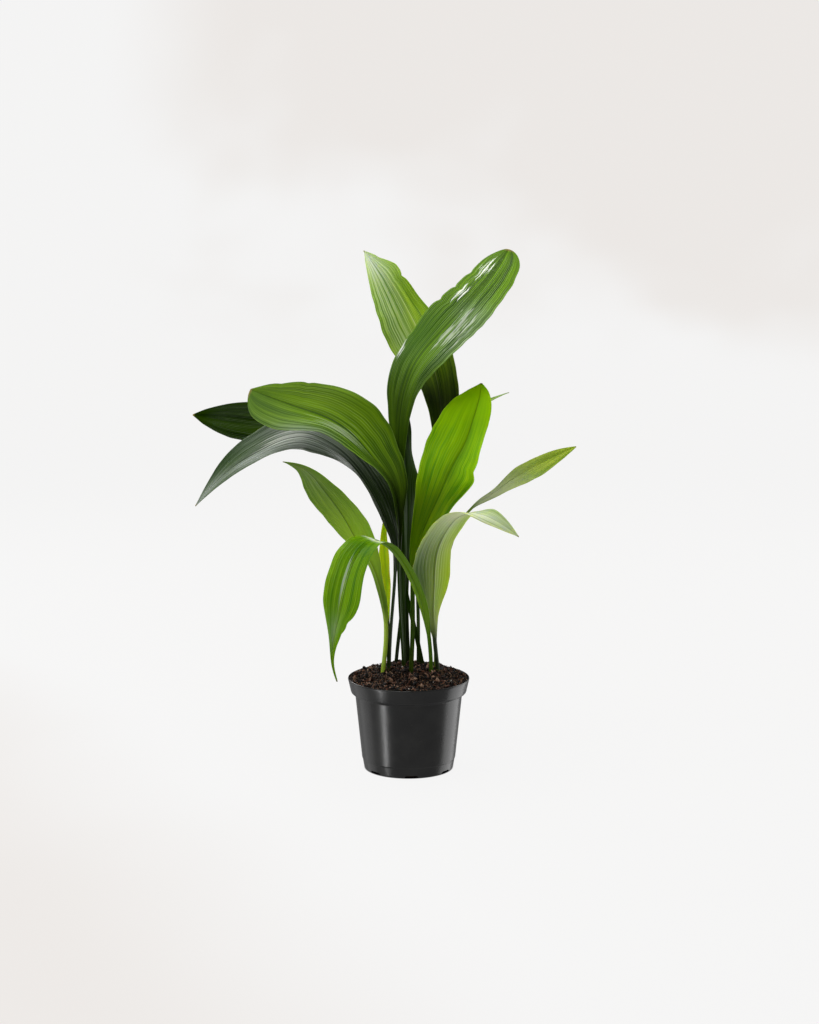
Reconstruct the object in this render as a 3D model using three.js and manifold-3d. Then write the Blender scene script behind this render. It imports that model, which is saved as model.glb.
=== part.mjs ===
// A cast iron plant (Aspidistra elatior) with thirteen leaves, standing in a 15 cm nursery pot.
// Millimetres, +Z up. The origin is the centre of the pot's flat base, and the front faces -Y.
import * as THREE from 'three';
import { mergeVertices } from 'three/addons/utils/BufferGeometryUtils.js';
import Module from 'manifold-3d';

const wasm = await Module();
wasm.setup();

// Driving dimensions of the pot
const RIM_RADIUS = 75;
const POT_HEIGHT = 114;
const COLLAR_HEIGHT = 18.5;
const COLLAR_FOOT_RADIUS = 71.3;
const BODY_TOP_RADIUS = 66.1;
const BODY_FOOT_RADIUS = 57.4;
const FOOT_HEIGHT = 9.5;
const BASE_RADIUS = 54;
const WALL = 1.3;
const FLOOR = 1.8;
const EDGE_ROUND = 1.2;
const SIDES = 56;

// Drain slots in the bottom corner of the pot
const SLOTS = 7;
const SLOT_WIDTH = 16;
const SLOT_DEPTH = 6;
const SLOT_HEIGHT = 3.6;
const FIRST_SLOT_DEG = 3.5;

// The soil fills the pot and rises to a low mound behind the centre
const CLEARANCE = 0.3;
const SOIL_AT_WALL = 113;
const MOUND_RISE = 10;
const MOUND_CENTRE = new THREE.Vector2(0, 16);
const MOUND_RADIUS = 72;
const LUMP = 0.9;
const SOIL_RINGS = 6;

// Leaf sections
const COLUMNS = [-1, -0.5, 0, 0.5, 1];
const STALK_THICKNESS_RATIO = 0.82;
const EDGE_THICKNESS = 0.8;
const RIB_AT_FOOT = 1.7;
const RIB_AT_TIP = 1.0;
const BURIED = 27;
const STALK_STEP = 30;
const BLADE_STEPS = 21;
const TIP_ROUND = 0.06;
const TIP_STEPS = [0.965, 0.985, 1];
const TIP_HALF_WIDTH = 0.4;
const SAMPLES = 400;

// Over the first parts of the blade the stalk spreads, the two halves fold and the blade sags
const SPREAD_OVER = 0.14;
const FOLD_OVER = 1 / 8;
const SAG_OVER = 1 / 6;
const SAG = 0.1;

// The wave on the right edge runs ahead of the wave on the left edge by this part of a turn
const WAVE_LEAD = 0.35;

// Each leaf: spine points [x, y, z, twist in degrees] from the cut end in the soil to the tip,
// the bearing of its upper face (0 looks at -Y, 90 at +X), stalk half width, length of the stalk,
// half widths of the blade left and right of its midrib at equal steps from foot to tip,
// fold angle of the two halves (at the foot, at the tip), and the edge wave.
const LEAVES = {
  leaf_top_right: {
    spine: [[-6, 31, 96], [-6, 30, 123], [-7, 23, 189], [-7, 18, 255], [-10, 13, 358], [-12, 13, 407],
      [-9, 19, 449], [9, 34, 500], [37, 56, 533], [69, 82, 566], [97, 104, 596], [126, 128, 635]],
    bearing: -30, stalk: 2.5, stalkLength: 255, fold: [14, 8], wave: 3, waves: 3.2, phase: 0.1,
    left: [2.5, 9, 17, 26, 33, 37, 35, 29, 12], right: [2.5, 9, 18, 26, 42, 46, 42, 38, 22], color: 0x35591a,
  },
  leaf_top_left: {
    spine: [[-1, 40, 94], [-1, 43, 121], [-3, 53, 188], [0, 60, 250], [17, 62, 325], [34, 66, 388],
      [40, 76, 431], [32, 88, 486], [13, 100, 533], [-8, 112, 572], [-29, 124, 604], [-57, 140, 633]],
    bearing: 15, stalk: 2.5, stalkLength: 288, fold: [12, 8], wave: 3, waves: 3, phase: 0.3,
    left: [2.5, 10, 20, 31, 44, 46, 37, 23, 1], right: [2.5, 14, 24, 29, 31, 27, 21, 16, 1], color: 0x4a6f22,
  },
  leaf_centre: {
    spine: [[-18, 41, 93], [-16, 41, 120], [-10, 40, 177], [-5, 39, 228], [-2, 33, 330], [-5, 32, 387],
      [-6, 35, 429], [-1, 44, 471]],
    bearing: 55, stalk: 2.4, stalkLength: 162, fold: [14, 14], wave: 3, waves: 3, phase: 0.6,
    left: [2.4, 9, 12, 13, 13, 12, 11, 8, 1], right: [2.4, 9, 15, 19, 19, 16, 11, 6, 1], color: 0x1c3312,
  },
  leaf_bright: {
    spine: [[3, -7, 92], [3, -8, 119], [5, -10, 183], [10, -16, 276], [23, -14, 312], [38, -8, 343],
      [53, 2, 375], [68, 14, 401], [79, 28, 430], [87, 44, 455], [90, 62, 472]],
    bearing: -15, stalk: 2.4, stalkLength: 156, fold: [8, 8], sag: 0.05, wave: 4, waves: 2.5, phase: 0.3,
    left: [2.4, 10, 19, 30, 39, 45, 41, 29, 3], right: [2.4, 11, 20, 22, 33, 24, 20, 17, 3], color: 0x7fae22,
  },
  leaf_arch_left: {
    spine: [[-6, 19, 94], [-6, 16, 121], [-9, 8, 178], [-11, -1, 223], [-12, -16, 275], [-12, -27, 319],
      [-19, -28, 357], [-41, -23, 387, -4], [-65, -16, 414, -10], [-95, -8, 435, -18],
      [-132, -2, 448, -26], [-192, 7, 469, -32]],
    bearing: 56, stalk: 2.5, stalkLength: 170, fold: [40, 8], wave: 3, waves: 3, phase: 0.1,
    left: [2.5, 10, 20, 26, 30, 33, 38, 42, 26], right: [2.5, 5, 10, 33, 48, 48, 42, 27, 4], color: 0x4d7a26,
  },
  leaf_back_left: {
    spine: [[22, 26, 96], [17, 30, 123], [5, 40, 177], [-11, 50, 249], [-21, 56, 320], [-41, 70, 375],
      [-80, 86, 410], [-137, 100, 422], [-186, 110, 420], [-233, 118, 424], [-275, 124, 426]],
    bearing: 25, stalk: 2.4, stalkLength: 245, fold: [10, 10], wave: 3, waves: 3, phase: 0.5,
    left: [2.4, 12, 22, 28, 32, 35, 35, 28, 3], right: [2.4, 12, 20, 25, 28, 29, 27, 19, 3], color: 0x1f4016,
  },
  leaf_low_left: {
    spine: [[-24, 11, 93], [-24, 12, 120], [-21, 14, 184], [-17, 15, 235], [-17, 12, 262], [-24, 10, 294],
      [-55, 16, 356], [-82, 24, 386, -10], [-106, 30, 401, -18], [-129, 34, 408, -24],
      [-152, 36, 405, -28], [-183, 38, 391, -32], [-216, 38, 371, -34], [-264, 35, 322, -30]],
    bearing: 68, stalk: 2.4, stalkLength: 149, fold: [30, 8], wave: 3, waves: 3, phase: 0.2,
    left: [2.4, 14, 20, 24, 28, 25, 16, 9, 1], right: [2.4, 18, 30, 34, 34, 32, 29, 14, 1], color: 0x6d7a66,
  },
  leaf_side_left: {
    spine: [[-34, 3, 91], [-32, 0, 118], [-28, -6, 162], [-29, -12, 198], [-35, -22, 232], [-45, -34, 263],
      [-64, -48, 297], [-78, -58, 324], [-101, -72, 359], [-124, -84, 385], [-147, -94, 394]],
    bearing: 150, stalk: 2.4, stalkLength: 94, fold: [10, 10], wave: 1.5, waves: 2.5, phase: 0.2,
    left: [2.4, 5, 8, 18, 28, 28, 19, 8, 1], right: [2.4, 5, 7, 10, 22, 34, 33, 16, 1], color: 0x6b9430,
  },
  leaf_front_left: {
    spine: [[29, 2, 94], [28, -2, 121], [26, -8, 156], [16, -24, 213], [-6, -50, 266], [-19, -64, 285],
      [-30, -76, 295], [-41, -88, 299, -8], [-51, -100, 295, -18], [-60, -110, 285, -25],
      [-69, -122, 265, -25], [-80, -136, 221, -25], [-88, -144, 180, -25], [-88, -145, 163, -25],
      [-83, -146, 143, -25]],
    bearing: 135, stalk: 2.4, stalkLength: 76, fold: [10, 10], wave: 1, waves: 2.5, phase: 0.2,
    left: [2.4, 6.5, 9, 10, 10, 11.5, 13, 16, 18.5, 20, 9, 2, 1],
    right: [2.4, 6.5, 9, 10, 11, 15, 20, 24, 25, 22, 9.5, 2, 1], color: 0x5f9a28,
  },
  leaf_front_right: {
    spine: [[39, 9, 95], [36, 6, 122], [32, 2, 160], [30, -4, 196], [31, -14, 238], [35, -28, 278],
      [46, -43, 305], [61, -58, 324], [76, -70, 329], [90, -80, 328, 15], [129, -100, 306, 30]],
    bearing: -140, stalk: 2.4, stalkLength: 70, fold: [10, 10], wave: 2, waves: 2.5, phase: 0.2,
    left: [2.4, 12, 26, 28, 30, 28, 22, 12, 1], right: [2.4, 12, 24, 34, 35, 30, 21, 12, 1], color: 0x7c9340,
  },
  leaf_far_right: {
    spine: [[33, 24, 95], [33, 24, 122], [36, 24, 193], [44, 28, 237], [66, 40, 303], [81, 47, 320],
      [96, 53, 329], [128, 66, 350], [166, 82, 370], [212, 102, 388]],
    bearing: -30, stalk: 1.3, stalkLength: 235, fold: [14, 14], wave: 1, waves: 2.5, phase: 0.2,
    left: [1.3, 4, 5, 8, 11, 11, 9, 6, 1], right: [1.3, 5, 10, 15, 19, 20, 15, 8, 1], color: 0x7ea045,
  },
  leaf_young: {
    spine: [[-26, -2, 92], [-25, -1, 119], [-26, 5, 190], [-28, 19, 240], [-30, 28, 275], [-30, 38, 305]],
    bearing: 20, stalk: 1.8, stalkLength: 92, fold: [8, 8], wave: 1, waves: 2.5, phase: 0.2,
    left: [1.8, 4, 7, 9, 9, 8, 6, 4, 1], right: [1.8, 3, 4, 5, 5, 5, 4, 3, 1], color: 0x9cb63a,
  },
  leaf_back_right: {
    spine: [[12, 32, 96], [12, 38, 122], [12, 53, 175], [12, 80, 247], [22, 105, 306], [40, 140, 360],
      [62, 175, 398], [86, 205, 424], [134, 250, 443]],
    bearing: -35, stalk: 2, stalkLength: 186, fold: [10, 10], wave: 2, waves: 2.5, phase: 0.2,
    left: [2, 8, 14, 18, 18, 14, 8, 4, 1], right: [2, 8, 14, 18, 18, 14, 8, 4, 1], color: 0x3a5f2c,
  },
};

const radians = THREE.MathUtils.degToRad;
const mix = THREE.MathUtils.lerp;
const smooth = THREE.MathUtils.smoothstep;

// Natural cubic spline through (ts, ys), returned as a function of t
function naturalSpline(ts, ys) {
  const n = ts.length;
  const second = new Array(n).fill(0);
  const slope = new Array(n).fill(0);
  for (let i = 1; i < n - 1; i += 1) {
    const part = (ts[i] - ts[i - 1]) / (ts[i + 1] - ts[i - 1]);
    const pivot = part * second[i - 1] + 2;
    const bend = (ys[i + 1] - ys[i]) / (ts[i + 1] - ts[i]) - (ys[i] - ys[i - 1]) / (ts[i] - ts[i - 1]);
    second[i] = (part - 1) / pivot;
    slope[i] = (6 * bend / (ts[i + 1] - ts[i - 1]) - part * slope[i - 1]) / pivot;
  }
  second[n - 1] = 0;
  for (let i = n - 2; i >= 0; i -= 1) {
    second[i] = second[i] * second[i + 1] + slope[i];
  }
  return (t) => {
    let i = 0;
    while (i < n - 2 && t > ts[i + 1]) i += 1;
    const h = ts[i + 1] - ts[i];
    const a = (ts[i + 1] - t) / h;
    const b = 1 - a;
    return a * ys[i] + b * ys[i + 1]
      + ((a ** 3 - a) * second[i] + (b ** 3 - b) * second[i + 1]) * h * h / 6;
  };
}

function evenly(count) {
  return Array.from({ length: count }, (_, i) => i / (count - 1));
}

// The spine as frames: place, tangent, upper-face normal and side vector at even samples
function spineFrames(leaf) {
  const knots = [0];
  for (let i = 1; i < leaf.spine.length; i += 1) {
    const [a, b] = [leaf.spine[i - 1], leaf.spine[i]];
    knots.push(knots[i - 1] + Math.hypot(b[0] - a[0], b[1] - a[1], b[2] - a[2]));
  }
  const track = [0, 1, 2, 3].map((k) => naturalSpline(knots, leaf.spine.map((p) => p[k] ?? 0)));
  const end = knots[knots.length - 1];
  const frames = evenly(SAMPLES).map((s) => ({
    place: new THREE.Vector3(track[0](s * end), track[1](s * end), track[2](s * end)),
    twist: radians(track[3](s * end)),
  }));
  const bearing = radians(leaf.bearing);
  const carried = new THREE.Vector3(Math.sin(bearing), -Math.cos(bearing), 0);
  let along = 0;
  frames.forEach((frame, i) => {
    const before = frames[Math.max(0, i - 1)].place;
    const after = frames[Math.min(SAMPLES - 1, i + 1)].place;
    frame.tangent = after.clone().sub(before).normalize();
    if (i > 0) along += frame.place.distanceTo(before);
    frame.along = along;
    carried.addScaledVector(frame.tangent, -carried.dot(frame.tangent)).normalize();
    const side = new THREE.Vector3().crossVectors(frame.tangent, carried);
    frame.normal = carried.clone().multiplyScalar(Math.cos(frame.twist));
    frame.normal.addScaledVector(side, Math.sin(frame.twist));
    frame.side = new THREE.Vector3().crossVectors(frame.tangent, frame.normal);
  });
  return frames;
}

function frameAt(frames, along) {
  let i = 0;
  while (i < SAMPLES - 2 && frames[i + 1].along < along) i += 1;
  const [a, b] = [frames[i], frames[i + 1]];
  const t = (along - a.along) / (b.along - a.along);
  const between = (key) => a[key].clone().lerp(b[key], t);
  return { place: between('place'), normal: between('normal'), side: between('side') };
}

// Half width of the blade on one side, rounded off over the last few percent at the tip
function halfWidth(spline, v) {
  const past = Math.max(0, v - (1 - TIP_ROUND)) / TIP_ROUND;
  return Math.max(spline(v), 0) * Math.sqrt(Math.max(0, 1 - past * past)) + TIP_HALF_WIDTH;
}

// Half thickness of the leaf: an oval stalk that flattens into a thin blade with a midrib
function halfThickness(leaf, u, v) {
  const spread = smooth(v, 0, SPREAD_OVER);
  const rib = mix(RIB_AT_FOOT, RIB_AT_TIP, v);
  const middle = mix(2 * leaf.stalk * STALK_THICKNESS_RATIO, rib, spread);
  const oval = Math.sqrt(1 - u * u);
  const ridge = u === 0 ? 1 : 0;
  return (EDGE_THICKNESS + (middle - EDGE_THICKNESS) * mix(oval, ridge, spread)) / 2;
}

// Middle surface of the leaf at one station: one point for each column
function stationRow(leaf, frames, widths, station) {
  const { place, normal, side } = frameAt(frames, station.along);
  const v = station.v;
  const fold = radians(mix(leaf.fold[0], leaf.fold[1], v)) * Math.min(1, v / FOLD_OVER);
  return COLUMNS.map((u) => {
    const half = halfWidth(u > 0 ? widths.right : widths.left, v);
    const turn = leaf.waves * v + leaf.phase + (u > 0 ? WAVE_LEAD : 0);
    const wave = leaf.wave * u * u * Math.sin(2 * Math.PI * turn) * Math.sin(Math.PI * v);
    const sag = (leaf.sag ?? SAG) * half * u * u * Math.min(1, v / SAG_OVER);
    const rise = Math.abs(u) * half * Math.sin(fold) - sag + wave;
    return place.clone()
      .addScaledVector(side, u * half * Math.cos(fold))
      .addScaledVector(normal, rise);
  });
}

function leafStations(leaf, length) {
  const stalkSteps = Math.round((leaf.stalkLength - BURIED) / STALK_STEP);
  const visible = (leaf.stalkLength - BURIED) / stalkSteps;
  const stations = [{ along: 0, v: 0 }];
  for (let i = 0; i < stalkSteps; i += 1) {
    stations.push({ along: BURIED + i * visible, v: 0 });
  }
  const bladeLength = length - leaf.stalkLength;
  const steps = [...evenly(BLADE_STEPS).map((t) => t * (1 - TIP_ROUND)), ...TIP_STEPS];
  steps.forEach((v) => stations.push({ along: leaf.stalkLength + v * bladeLength, v }));
  return stations;
}

// Rings of points round the leaf at each station: upper face left to right, lower face back
function leafRings(leaf, grow = 0, onlyBuried = false) {
  const frames = spineFrames(leaf);
  const stations = leafStations(leaf, frames[SAMPLES - 1].along);
  const at = evenly(leaf.left.length);
  const widths = { left: naturalSpline(at, leaf.left), right: naturalSpline(at, leaf.right) };
  const rows = stations.map((station) => stationRow(leaf, frames, widths, station));
  const last = COLUMNS.length - 1;
  const rings = rows.map((row, j) => {
    const before = rows[Math.max(0, j - 1)];
    const after = rows[Math.min(rows.length - 1, j + 1)];
    const offsets = row.map((_, i) => {
      const across = row[Math.min(last, i + 1)].clone().sub(row[Math.max(0, i - 1)]);
      const forward = after[i].clone().sub(before[i]);
      const half = halfThickness(leaf, COLUMNS[i], stations[j].v) + grow;
      return new THREE.Vector3().crossVectors(across, forward).normalize().multiplyScalar(half);
    });
    const outward = row.map((point, i) => point.clone()
      .addScaledVector(row[last].clone().sub(row[0]).normalize(), COLUMNS[i] * grow));
    const upper = outward.map((point, i) => point.clone().add(offsets[i]));
    const lower = outward.map((point, i) => point.clone().sub(offsets[i]));
    return [...upper, ...lower.reverse()];
  });
  return onlyBuried ? rings.slice(0, 3) : rings;
}

// Closed solid through rings of equal count. Both faces of a blade are split along like diagonals.
function loft(rings) {
  const around = rings[0].length;
  const columns = around / 2;
  const triangles = [];
  const index = (j, i) => j * around + ((i + around) % around);
  for (let j = 0; j < rings.length - 1; j += 1) {
    for (let i = 0; i < around; i += 1) {
      const [a, b, c, d] = [index(j, i), index(j, i + 1), index(j + 1, i + 1), index(j + 1, i)];
      if (i < columns) triangles.push(a, b, c, a, c, d);
      else triangles.push(a, b, d, b, c, d);
    }
  }
  const top = rings.length - 1;
  for (let i = 0; i < columns - 1; i += 1) {
    const across = around - 1 - i;
    triangles.push(index(0, i), index(0, across), index(0, across - 1));
    triangles.push(index(0, i), index(0, across - 1), index(0, i + 1));
    triangles.push(index(top, i), index(top, i + 1), index(top, across - 1));
    triangles.push(index(top, i), index(top, across - 1), index(top, across));
  }
  const geometry = new THREE.BufferGeometry();
  const positions = rings.flat().flatMap((point) => point.toArray());
  geometry.setAttribute('position', new THREE.Float32BufferAttribute(positions, 3));
  geometry.setIndex(triangles);
  return geometry;
}

function leafGeometry(leaf) {
  return loft(leafRings(leaf));
}

// Plain hole for a stalk: the buried part of the stalk, grown by the clearance on every side
function holeGeometry(leaf) {
  const rings = leafRings(leaf, CLEARANCE, true);
  const down = rings[0][0].clone().sub(rings[1][0]).normalize().multiplyScalar(CLEARANCE);
  rings[0].forEach((point) => point.add(down));
  return loft(rings);
}

// Closed geometry to a solid for cutting, with shared vertices merged
function solidOf(geometry) {
  const plain = geometry.clone();
  plain.deleteAttribute('normal');
  plain.deleteAttribute('uv');
  const merged = mergeVertices(plain, 1e-4);
  const index = merged.index.array;
  const triangles = [];
  for (let i = 0; i < index.length; i += 3) {
    const [a, b, c] = [index[i], index[i + 1], index[i + 2]];
    if (a !== b && b !== c && c !== a) triangles.push(a, b, c);
  }
  return new wasm.Manifold(new wasm.Mesh({
    numProp: 3,
    vertProperties: Float32Array.from(merged.attributes.position.array),
    triVerts: Uint32Array.from(triangles),
  }));
}

function geometryOf(solid) {
  const mesh = solid.getMesh();
  const geometry = new THREE.BufferGeometry();
  geometry.setAttribute('position', new THREE.BufferAttribute(mesh.vertProperties, 3));
  geometry.setIndex(new THREE.BufferAttribute(mesh.triVerts, 1));
  return geometry;
}

// Outline of the pot's outside [radius, height], from the base up to the rim
function potOutside() {
  const collarFoot = POT_HEIGHT - COLLAR_HEIGHT;
  return [
    [BASE_RADIUS, 0],
    [BASE_RADIUS + EDGE_ROUND, EDGE_ROUND],
    [BODY_FOOT_RADIUS, FOOT_HEIGHT],
    [BODY_TOP_RADIUS, collarFoot - 2 * EDGE_ROUND],
    [BODY_TOP_RADIUS + EDGE_ROUND, collarFoot - EDGE_ROUND / 2],
    [COLLAR_FOOT_RADIUS - EDGE_ROUND, collarFoot],
    [COLLAR_FOOT_RADIUS, collarFoot + EDGE_ROUND],
    [RIM_RADIUS, POT_HEIGHT - EDGE_ROUND],
    [RIM_RADIUS - EDGE_ROUND / 3, POT_HEIGHT],
  ];
}

// Outline of the pot's inside, from the floor up to the rim
function potInside() {
  const collarFoot = POT_HEIGHT - COLLAR_HEIGHT;
  return [
    [BASE_RADIUS - WALL / 2, FLOOR],
    [BODY_FOOT_RADIUS - WALL, FOOT_HEIGHT],
    [BODY_TOP_RADIUS - WALL, collarFoot - EDGE_ROUND],
    [COLLAR_FOOT_RADIUS - 2 * WALL, collarFoot + WALL],
    [COLLAR_FOOT_RADIUS - WALL, collarFoot + 2 * WALL],
    [RIM_RADIUS - WALL, POT_HEIGHT - EDGE_ROUND],
    [RIM_RADIUS - WALL, POT_HEIGHT],
  ];
}

function revolved(outline) {
  const points = outline.map(([radius, height]) => new THREE.Vector2(radius, height));
  const geometry = new THREE.LatheGeometry(points, SIDES);
  geometry.rotateX(Math.PI / 2);
  return geometry;
}

function potGeometry() {
  const outline = [[0, 0], ...potOutside(), ...potInside().reverse(), [0, FLOOR]];
  let pot = solidOf(revolved(outline));
  for (let k = 0; k < SLOTS; k += 1) {
    const angle = radians(FIRST_SLOT_DEG + (360 / SLOTS) * k);
    const slot = new THREE.BoxGeometry(SLOT_WIDTH, 2 * SLOT_DEPTH, 2 * SLOT_HEIGHT);
    slot.translate(0, -(BODY_FOOT_RADIUS + SLOT_DEPTH / 2), 0);
    slot.rotateZ(angle);
    pot = pot.subtract(solidOf(slot));
  }
  return geometryOf(pot);
}

// Height of the soil's surface: a low mound with soft lumps, calmer along the wall
function soilHeight(x, y, wallRadius) {
  const away = Math.hypot(x - MOUND_CENTRE.x, y - MOUND_CENTRE.y) / MOUND_RADIUS;
  const mound = MOUND_RISE * (1 - smooth(away, 0.25, 1));
  const broad = Math.sin(0.23 * x + 1.1) * Math.cos(0.19 * y - 0.4);
  const fine = 0.7 * Math.sin(0.41 * x - 0.37 * y);
  const calm = 1 - 0.7 * smooth(Math.hypot(x, y) / wallRadius, 0.8, 1);
  return SOIL_AT_WALL + mound + LUMP * (broad + fine) * calm;
}

function soilGeometry() {
  const wall = potInside();
  const inside = wall.slice(0, 5).map(([radius, height]) => [radius - CLEARANCE, height + CLEARANCE]);
  const [collar, rim] = wall.slice(4, 6);
  const upTheCollar = (SOIL_AT_WALL - collar[1]) / (rim[1] - collar[1]);
  const wallRadius = mix(collar[0], rim[0], upTheCollar) - 2 * CLEARANCE;
  const surface = evenly(SOIL_RINGS + 1).map((t) => [wallRadius * (1 - t), SOIL_AT_WALL]);
  const geometry = revolved([[0, inside[0][1]], ...inside, ...surface]);
  const place = geometry.attributes.position;
  for (let i = 0; i < place.count; i += 1) {
    if (place.getZ(i) > SOIL_AT_WALL - 0.01) {
      place.setZ(i, soilHeight(place.getX(i), place.getY(i), wallRadius));
    }
  }
  let soil = solidOf(geometry);
  Object.values(LEAVES).forEach((leaf) => {
    soil = soil.subtract(solidOf(holeGeometry(leaf)));
  });
  return geometryOf(soil);
}

function namedMesh(name, geometry, color, roughness) {
  geometry.computeVertexNormals();
  const material = new THREE.MeshStandardMaterial({ color, roughness, metalness: 0 });
  const mesh = new THREE.Mesh(geometry, material);
  mesh.name = name;
  return mesh;
}

const plant = new THREE.Group();
plant.add(namedMesh('pot', potGeometry(), 0x2c2c2e, 0.45));
plant.add(namedMesh('soil', soilGeometry(), 0x33271d, 0.95));
Object.entries(LEAVES).forEach(([name, leaf]) => {
  plant.add(namedMesh(name, leafGeometry(leaf), leaf.color, 0.4));
});

export default plant;
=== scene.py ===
# Potted cast iron plant: fine leaves, nursery pot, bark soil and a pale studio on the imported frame
import math

import bmesh
import bpy
import numpy as np
from mathutils import Matrix, Vector
from numpy.linalg import norm


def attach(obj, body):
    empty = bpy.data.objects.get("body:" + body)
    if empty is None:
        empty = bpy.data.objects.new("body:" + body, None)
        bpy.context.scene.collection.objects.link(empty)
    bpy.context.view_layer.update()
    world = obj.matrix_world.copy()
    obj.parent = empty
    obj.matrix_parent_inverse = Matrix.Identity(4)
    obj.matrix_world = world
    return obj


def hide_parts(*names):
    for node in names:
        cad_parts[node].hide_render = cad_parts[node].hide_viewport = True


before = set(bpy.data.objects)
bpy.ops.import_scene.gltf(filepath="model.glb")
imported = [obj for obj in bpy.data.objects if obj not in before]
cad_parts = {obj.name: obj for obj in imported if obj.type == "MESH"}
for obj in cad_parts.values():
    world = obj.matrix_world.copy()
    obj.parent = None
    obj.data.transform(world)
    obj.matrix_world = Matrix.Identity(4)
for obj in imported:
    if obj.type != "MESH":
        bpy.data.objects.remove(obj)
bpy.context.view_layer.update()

MM = 0.001
TURN = 2 * math.pi
BODY = "root"

# Camera: it stands 2.4 m away and looks down by about 9 degrees
CAMERA_PLACE = (0, -2.4, 0.69)
CAMERA_TARGET = (0.001, 0, 0.32)
CAMERA_LENS = 70
SENSOR_WIDTH = 36

# Pot in mm, the same values as the solid but for the crease above its foot and the recess under its floor
RIM_RADIUS = 75
POT_HEIGHT = 114
COLLAR_HEIGHT = 18.5
COLLAR_FOOT_RADIUS = 71.3
BODY_TOP_RADIUS = 66.1
BODY_FOOT_RADIUS = 57.4
FOOT_HEIGHT = 9.5
CREASE_HEIGHT = 13.5
CREASE_DEPTH = 0.6
BASE_RADIUS = 54
WALL = 1.3
FLOOR = 1.8
EDGE_ROUND = 1.2
CORNER_ROUND = 1
CORNER_STEPS = 5
RECESS = 0.6
FOOT_RING = 5
SLOTS = 7
SLOT_WIDTH = 16
SLOT_HEIGHT = 3.6
SLOT_DEPTH = 18
SLOT_PAST_BODY = 2.5
SLOT_ROUND = 1.1
FIRST_SLOT_DEG = 3.5
SHARP_EDGE_DEG = 38
POT_SIDES = 224

# Soil in mm
SOIL_AT_WALL = 113
MOUND_RISE = 10
MOUND_CENTRE = (0, 16)
MOUND_RADIUS = 72
SOIL_RADIUS = 73.1
SOIL_SUNK = 0.4
SOIL_SIDES = 200
SOIL_RINGS = 64
LUMP = 0.9
CHIPS = 2200
CHIP_LEAST = 0.6
CHIP_SPREAD = 2.9
CHIP_BIAS = 2.8
STALK_ROOM = 2.4
CRUMBS = 3200
PALE_CRUMBS = 0.4
FIBRES = 110
FIBRE_SIDES = 5
FIBRE_STEPS = 9
FIBRE_REACH = 66
FIBRE_LIMIT = 69

# Leaf section in mm
STALK_THICKNESS_RATIO = 0.82
RIB_AT_FOOT = 1.7
RIB_AT_TIP = 1
TIP_ROUND = 0.06
TIP_HALF_WIDTH = 0.4
SAMPLES = 400
SPREAD_OVER = 0.14
SAG = 0.1
WAVE_LEAD = 0.35
LAMINA = 0.5
MARGIN = 0.26
RIPPLE_WAVES = 7

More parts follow.
